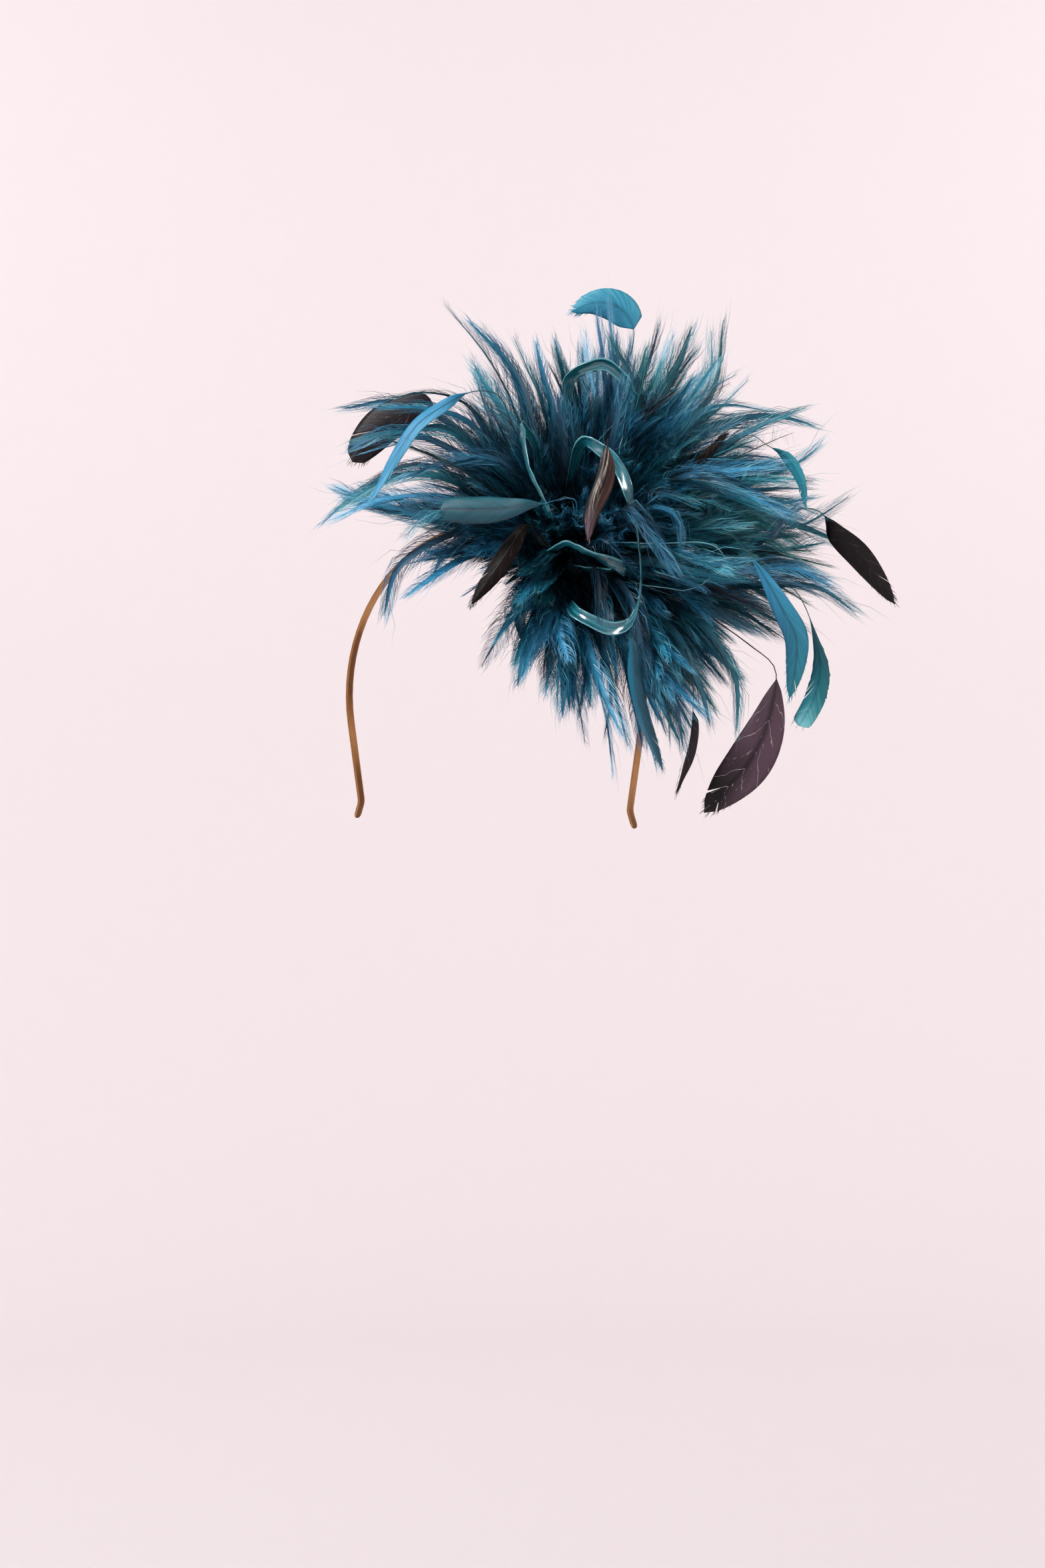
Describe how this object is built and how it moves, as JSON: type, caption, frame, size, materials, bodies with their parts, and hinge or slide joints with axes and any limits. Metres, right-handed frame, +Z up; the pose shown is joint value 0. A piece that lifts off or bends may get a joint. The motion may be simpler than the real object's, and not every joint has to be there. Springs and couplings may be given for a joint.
{
  "type": "feather fascinator on a headband",
  "caption": "Feather fascinator: a thin metal headband carries a domed felt base with rows of teal hackles, leaf-tipped stripped plumes and glossy quill loops on one side.",
  "frame": {"origin": "inner face of the headband's crown, at the middle of its width, where it sits on top of the wearer's head", "axes": "+Z up; +X to the wearer's left, the side that carries the feathers; the wearer faces -Y; the headband's arch lies in the XZ plane"},
  "size_m": [0.2673, 0.276, 0.2393],
  "materials": {
    "gold_band": "polished, warm copper-gold strip",
    "felt": "dark teal felt",
    "hackle": "dyed teal hackle feathers, silky barbs and downy roots",
    "teal_vane": "dyed teal stripped coque feathers, smooth vanes with a sheen",
    "black_vane": "black stripped coque feathers with a faint purple sheen",
    "brown_vane": "dark brown stripped coque feathers",
    "quill": "glossy flattened teal quill"
  },
  "bodies": {
    "root": {"headband": "gold_band", "felt_base": "felt", "brim_hackles": "hackle", "outer_hackles": "hackle", "middle_hackles": "hackle", "inner_hackles": "hackle", "crown_hackles": "hackle", "black_leaf_right": "black_vane", "black_leaf_low": "black_vane", "black_leaf_centre": "black_vane", "black_leaf_far_left": "black_vane", "black_leaf_hanging": "black_vane", "brown_leaf_left": "brown_vane", "brown_leaf_inner": "brown_vane", "teal_plume_top": "teal_vane", "teal_plume_left": "teal_vane", "teal_plume_mid_left": "teal_vane", "teal_plume_low_right": "teal_vane", "teal_plume_right": "teal_vane", "teal_leaf_right": "teal_vane", "teal_plume_low": "teal_vane", "quill_loop_left": "quill", "quill_loop_centre": "quill", "quill_loop_low": "quill", "quill_loop_top": "quill", "quill_loop_right": "quill"}
  },
  "joints": []
}
